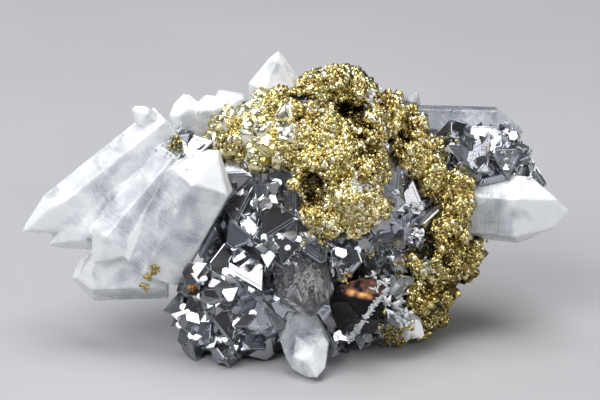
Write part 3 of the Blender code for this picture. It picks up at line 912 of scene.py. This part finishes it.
def inner_cracks(finish):
    """Veils of tiny flakes that cross the clear crystals."""
    rng = np.random.default_rng(27)
    shapes = [flake_shape(rng) for _ in range(FLAKE_SHAPES)]
    parts = []
    for name, way, away, count in CRACKS:
        corners = np.array([vert.co[:] for vert in node_mesh(name).verts])
        middle = corners.mean(axis=0)
        gathering = np.full(len(corners), CRACK_GATHERING)
        places = rng.dirichlet(gathering, count * CRACK_CANDIDATES) @ corners
        off = (places - middle) @ unit(way) - away
        places = places[np.abs(off) < CRACK_THICKNESS * rng.uniform(size=len(off)) ** 2][:count]
        places = middle + (places - middle) * CRACK_WITHIN
        ways = unit_rows(unit(way) + rng.normal(0, FLAKE_LEAN, places.shape))
        sizes = rng.uniform(*FLAKE_SIZE, len(places))
        parts += scattered(shapes, places, sizes, FLAKE_TONE, rng, frames_along(ways, rng))
    add_piece("quartz_inner_cracks", parts, finish, "quartz", fields=without_ribs(parts))


GLASS_TONE = 0.5


def clear_quartz(finish):
    for name in ("quartz_clear_front", "quartz_clear_lower_right"):
        bm = node_mesh(name)
        chamfer(bm, width=0.16, segments=2)
        parts = [(*arrays_of(bm), GLASS_TONE)]
        add_piece(name + "_glassy", parts, finish, "clear_quartz", name, smooth=25)


# The brown crystal: how uneven its skin is, and how mottled it is.
BROWN_DEPTH = 0.1
MOTTLE = 0.9
# The windows of the orange streak on it and of its browner top, and how strong each is.
ORANGE_STREAK = ((358, 295), 19, 4, 12)
ORANGE = 0.6
BROWN_TOP = ((366, 287), 26, 12, 5)
BROWN = 0.42


def brown_crystal(finish):
    points, triangles = remeshed(node_mesh("sphalerite_brown_crystal"), voxel=0.3)
    normals = point_normals(points, triangles)
    mottled = 0.5 + MOTTLE * noise_at(points, size=1.3, seed=72)
    tones = BROWN * in_window(points, BROWN_TOP) * np.clip(mottled + 0.3, 0, 1.2)
    tones += ORANGE * in_window(points, ORANGE_STREAK) * np.clip(mottled + 0.25, 0.3, 1)
    push = BROWN_DEPTH * noise_at(points, size=1.6, seed=70)
    parts = [(points + normals * push[:, None], triangles, np.clip(tones, 0, 1))]
    add_piece("sphalerite_brown_glassy", parts, finish, "sphalerite_brown", "sphalerite_brown_crystal",
              smooth=30)


def feed(tree, socket, value):
    """Links an output to a socket, or sets the socket's own value."""
    if isinstance(value, bpy.types.NodeSocket):
        tree.links.new(value, socket)
    else:
        socket.default_value = value


def set_inputs(tree, made, **inputs):
    for name, value in inputs.items():
        feed(tree, made.inputs[name.replace("_", " ")], value)


def node(tree, kind, **inputs):
    """A shader node with some of its inputs set or linked."""
    made = tree.nodes.new("ShaderNode" + kind)
    set_inputs(tree, made, **inputs)
    return made


def ramp(tree, factor, stops):
    """A colour ramp: each stop is a place and a colour."""
    made = node(tree, "ValToRGB", Fac=factor)
    elements = made.color_ramp.elements
    while len(elements) < len(stops):
        elements.new(0.5)
    for element, (place, colour) in zip(elements, stops):
        element.position = place
        element.color = (*colour, 1)
    return made.outputs["Color"]


def value_map(tree, value, span, to):
    """The value with one span stretched to another, and held at its ends."""
    ends = {"From_Min": span[0], "From_Max": span[1], "To_Min": to[0], "To_Max": to[1]}
    return node(tree, "MapRange", Value=value, **ends).outputs["Result"]


def object_place(tree):
    return node(tree, "TexCoord").outputs["Object"]


def noise_of(tree, scale, detail=3.0, distortion=0.0):
    """Noise in the frame of the object, with scale in lumps for each metre."""
    inputs = {"Scale": scale, "Detail": detail, "Distortion": distortion}
    return node(tree, "TexNoise", Vector=object_place(tree), **inputs).outputs["Fac"]


# The sockets of a mixing node that deal in colours.
MIX_FACTOR = 0
MIX_FIRST = 6
MIX_SECOND = 7
MIX_RESULT = 2


def mix(tree, factor, first, second):
    """The first colour, an output, turned into the second, three numbers, as far as the factor says."""
    made = node(tree, "Mix")
    made.data_type = "RGBA"
    feed(tree, made.inputs[MIX_FACTOR], factor)
    feed(tree, made.inputs[MIX_FIRST], first)
    feed(tree, made.inputs[MIX_SECOND], (*second, 1))
    return made.outputs[MIX_RESULT]


def bump(tree, height, strength, distance):
    made = node(tree, "Bump", Height=height, Strength=strength, Distance=distance * METRES)
    return made.outputs["Normal"]


def new_material(name):
    made = bpy.data.materials.new(name)
    made.use_nodes = True
    return made, made.node_tree, made.node_tree.nodes["Principled BSDF"]


def point_value(tree, name):
    """The number that set_field gave each point."""
    made = node(tree, "Attribute")
    made.attribute_name = name
    return made.outputs["Fac"]


def arithmetic(tree, how, *values):
    made = node(tree, "Math")
    made.operation = how
    for socket, value in zip(made.inputs, values):
        feed(tree, socket, value)
    return made.outputs["Value"]


# Brass along the tone of a grain, from painted shade in the pits to its palest, partly a painted glint, and
# its two tints.
BRASS = (
    (0.0, (0.045, 0.025, 0.008)), (0.22, (0.32, 0.22, 0.06)), (0.48, (0.68, 0.55, 0.21)),
    (0.75, (0.90, 0.81, 0.46)), (1.0, (0.98, 0.94, 0.74)),
)
OLIVE = (0.47, 0.44, 0.20)
RUST = (0.50, 0.17, 0.03)


def chalcopyrite_finish():
    """Metal with dull olive patches, specks of tarnish, and rust where the tone marks it."""
    made, tree, shader = new_material("brassy_chalcopyrite")
    tone = point_value(tree, "tone")
    dull = value_map(tree, noise_of(tree, 230), span=(0.45, 0.7), to=(0, 0.5))
    olive = mix(tree, dull, ramp(tree, tone, BRASS), OLIVE)
    tarnish = value_map(tree, noise_of(tree, 600, detail=4), span=(0.70, 0.75), to=(0, 0.7))
    rust = arithmetic(tree, "MAXIMUM", tarnish, value_map(tree, tone, span=(1.4, 1.6), to=(0, 0.9)))
    rough = value_map(tree, noise_of(tree, 1500), span=(0.3, 0.7), to=(0.14, 0.36))
    skin = bump(tree, noise_of(tree, 3000, detail=4), strength=0.35, distance=0.08)
    colour = mix(tree, rust, olive, RUST)
    set_inputs(tree, shader, Base_Color=colour, Metallic=1.0, Roughness=rough, Normal=skin)
    return made


# Sphalerite by the tone of its face, and the brown of some patches.
BLUE_GREY = (
    (0.0, (0.20, 0.20, 0.205)), (0.4, (0.36, 0.365, 0.38)), (0.75, (0.48, 0.51, 0.58)),
    (1.0, (0.58, 0.60, 0.64)),
)
SPHALERITE_BROWN = (0.17, 0.10, 0.04)
# Growth lines: noise that is drawn out one way, at a turn.
LINES_SCALE = (300, 4200, 1600)
LINES_TURN = (0.5, 0.3, 0.7)
# How often the frosting of a face goes from none to full as its tone goes from dark to pale.
FROST_CYCLES = 7.3


def sphalerite_finish():
    """Nearly metallic, each face with a tone and a frosting of its own, with fine growth lines."""
    made, tree, shader = new_material("dark_sphalerite")
    tone = point_value(tree, "tone")
    brown = value_map(tree, noise_of(tree, 300, detail=4), span=(0.60, 0.72), to=(0, 0.5))
    colour = mix(tree, brown, ramp(tree, tone, BLUE_GREY), SPHALERITE_BROWN)
    turn = node(tree, "Mapping", Vector=object_place(tree), Scale=LINES_SCALE, Rotation=LINES_TURN)
    lines = node(tree, "TexNoise", Vector=turn.outputs["Vector"], Scale=1.0, Detail=2.0).outputs["Fac"]
    frosted = arithmetic(tree, "FRACT", arithmetic(tree, "MULTIPLY", tone, FROST_CYCLES))
    rough = value_map(tree, frosted, span=(0, 1), to=(0.06, 0.27))
    skin = bump(tree, lines, strength=0.16, distance=0.05)
    set_inputs(tree, shader, Base_Color=colour, Metallic=0.9, Roughness=rough, Normal=skin)
    return made


# Quartz by how milky it is, and the white of its fine cracks.
MILKY = ((0.1, (0.46, 0.50, 0.56)), (0.4, (0.68, 0.71, 0.76)), (0.8, (0.87, 0.885, 0.91)))
CRACK_WHITE = (0.98, 0.98, 1.0)
RIB_CLEARER = -0.4
RIB_BUMP = 0.5


def fine_cracks(tree):
    """Where the edges of cells of noise run, in some places only."""
    cells = node(tree, "TexVoronoi", Vector=object_place(tree), Scale=330.0, Randomness=1.0)
    cells.feature = "DISTANCE_TO_EDGE"
    edges = value_map(tree, cells.outputs["Distance"], span=(0.0, 0.05), to=(1, 0))
    cracked = value_map(tree, noise_of(tree, 110), span=(0.52, 0.62), to=(0, 1))
    return arithmetic(tree, "MULTIPLY", edges, cracked)


def ribs_along(tree):
    """Ribs that follow the distance along a crystal, on its sides only."""
    ribs = node(tree, "TexNoise", Scale=1.0, Detail=2.0)
    ribs.noise_dimensions = "1D"
    set_inputs(tree, ribs, W=point_value(tree, "along"))
    return arithmetic(tree, "MULTIPLY", ribs.outputs["Fac"], point_value(tree, "ribbed"))


def quartz_finish():
    """Glassy, cloudier where it is milky and clearer where it is grey, with ribs and fine cracks."""
    made, tree, shader = new_material("milky_quartz")
    ribbed = ribs_along(tree)
    cloud = value_map(tree, noise_of(tree, 240, detail=5, distortion=0.8), span=(0.3, 0.7), to=(-0.1, 0.22))
    cloudy = arithmetic(tree, "ADD", point_value(tree, "tone"), cloud)
    milk = arithmetic(tree, "MULTIPLY_ADD", ribbed, RIB_CLEARER, cloudy)
    colour = mix(tree, fine_cracks(tree), ramp(tree, milk, MILKY), CRACK_WHITE)
    uneven = noise_of(tree, 1300, detail=4, distortion=1.0)
    height = arithmetic(tree, "MULTIPLY_ADD", uneven, RIB_BUMP, ribbed)
    rough = value_map(tree, noise_of(tree, 500), span=(0.35, 0.7), to=(0.12, 0.34))
    clear = value_map(tree, milk, span=(0.1, 0.75), to=(0.8, 0.12))
    set_inputs(tree, shader, Base_Color=colour, IOR=1.55, Roughness=rough, Transmission_Weight=clear,
               Subsurface_Weight=0.3, Subsurface_Scale=0.002, Subsurface_Radius=(1.0, 1.0, 1.05),
               Normal=bump(tree, height, strength=0.6, distance=0.14))
    return made


def clear_finish():
    made, tree, shader = new_material("clear_quartz")
    skin = bump(tree, noise_of(tree, 500), strength=0.12, distance=0.12)
    set_inputs(tree, shader, Base_Color=(0.99, 0.99, 0.99, 1), Roughness=0.02, IOR=1.545,
               Transmission_Weight=0.96, Normal=skin)
    return made


# The brown crystal from its black foot to its orange streak.
BLACK_TO_ORANGE = (
    (0.0, (0.004, 0.004, 0.004)), (0.16, (0.012, 0.009, 0.008)), (0.36, (0.14, 0.06, 0.045)),
    (0.55, (0.30, 0.16, 0.11)), (0.75, (0.66, 0.27, 0.05)), (1.0, (0.90, 0.62, 0.24)),
)


def brown_finish():
    made, tree, shader = new_material("brown_sphalerite")
    streaks = noise_of(tree, 1100, detail=4, distortion=1.5)
    streaked = value_map(tree, streaks, span=(0.3, 0.7), to=(-0.12, 0.12))
    tone = arithmetic(tree, "ADD", point_value(tree, "tone"), streaked)
    skin = bump(tree, noise_of(tree, 900, detail=4), strength=0.2, distance=0.1)
    set_inputs(tree, shader, Base_Color=ramp(tree, tone, BLACK_TO_ORANGE), Roughness=0.05, IOR=1.38,
               Normal=skin)
    return made


# The grey of the floor, which isn't part of the specimen.
PALE_GREY = ((0.3, (0.40, 0.40, 0.41)), (0.7, (0.44, 0.44, 0.45)))

# The lights: the place, the width and height in metres, and the power in watts.
KEY_PLACE = (-0.38, -0.46, 0.62)
LIGHTS = {
    "key_light": (KEY_PLACE, (0.52, 0.50), 4.7),
    "fill_light": ((0.60, -0.45, 0.30), (0.30, 0.44), 1.6),
    "top_light": ((0.08, 0.05, 0.80), (0.60, 0.46), 4.4),
    "rim_light": ((-0.60, 0.42, 0.34), (0.22, 0.40), 1.6),
}
# What the faces mirror beyond the lights, from the horizon to overhead.
SURROUNDINGS = ((0.0, (0.10, 0.105, 0.115)), (0.45, (0.16, 0.17, 0.185)), (0.85, (0.62, 0.64, 0.68)))
SURROUNDINGS_STRENGTH = 0.6


def floor_finish():
    made, tree, shader = new_material("pale_floor")
    set_inputs(tree, shader, Base_Color=ramp(tree, noise_of(tree, 9, detail=4), PALE_GREY), Roughness=0.7)
    return made


def make_floor():
    """A round floor, with its radius in metres."""
    bm = bmesh.new()
    bmesh.ops.create_circle(bm, cap_ends=True, segments=96, radius=1.6)
    mesh = bpy.data.meshes.new("floor")
    bm.to_mesh(mesh)
    bm.free()
    mesh.materials.append(floor_finish())
    floor = placed("floor", mesh)


def area_light(name, place, size, power):
    """A soft light that faces the specimen."""
    data = bpy.data.lights.new(name, "AREA")
    data.shape = "RECTANGLE"
    data.size, data.size_y = size
    data.energy = power
    lamp = placed(name, data)
    lamp.location = place
    towards = Vector(AIM) * METRES - Vector(place)
    lamp.rotation_euler = towards.to_track_quat("-Z", "Y").to_euler()


def make_world():
    world = bpy.data.worlds.new("studio")
    bpy.context.scene.world = world
    world.use_nodes = True
    tree = world.node_tree
    place = node(tree, "TexCoord").outputs["Generated"]
    height = node(tree, "SeparateXYZ", Vector=place).outputs["Z"]
    sky = ramp(tree, height, SURROUNDINGS)
    set_inputs(tree, tree.nodes["Background"], Color=sky, Strength=SURROUNDINGS_STRENGTH)


def make_camera():
    _, _, ahead = camera_axes()
    data = bpy.data.cameras.new("camera")
    data.lens = LENS
    data.sensor_width = SENSOR
    camera = placed("camera", data)
    camera.location = (AIM - ahead * CAMERA_DISTANCE) * METRES
    camera.rotation_euler = Vector(ahead).to_track_quat("-Z", "Y").to_euler()
    bpy.context.scene.camera = camera


def main():
    make_camera()
    make_floor()
    for name, light in LIGHTS.items():
        area_light(name, *light)
    make_world()
    bpy.context.scene.view_settings.view_transform = "Standard"
    brass = chalcopyrite_finish()
    tree = specimen_tree(chalcopyrite(brass))
    stray_chalcopyrite(brass, tree)
    sphalerite(sphalerite_finish())
    milky = quartz_finish()
    quartz(milky)
    quartz_needles(milky, tree)
    inner_cracks(milky)
    clear_quartz(clear_finish())
    brown_crystal(brown_finish())


main()
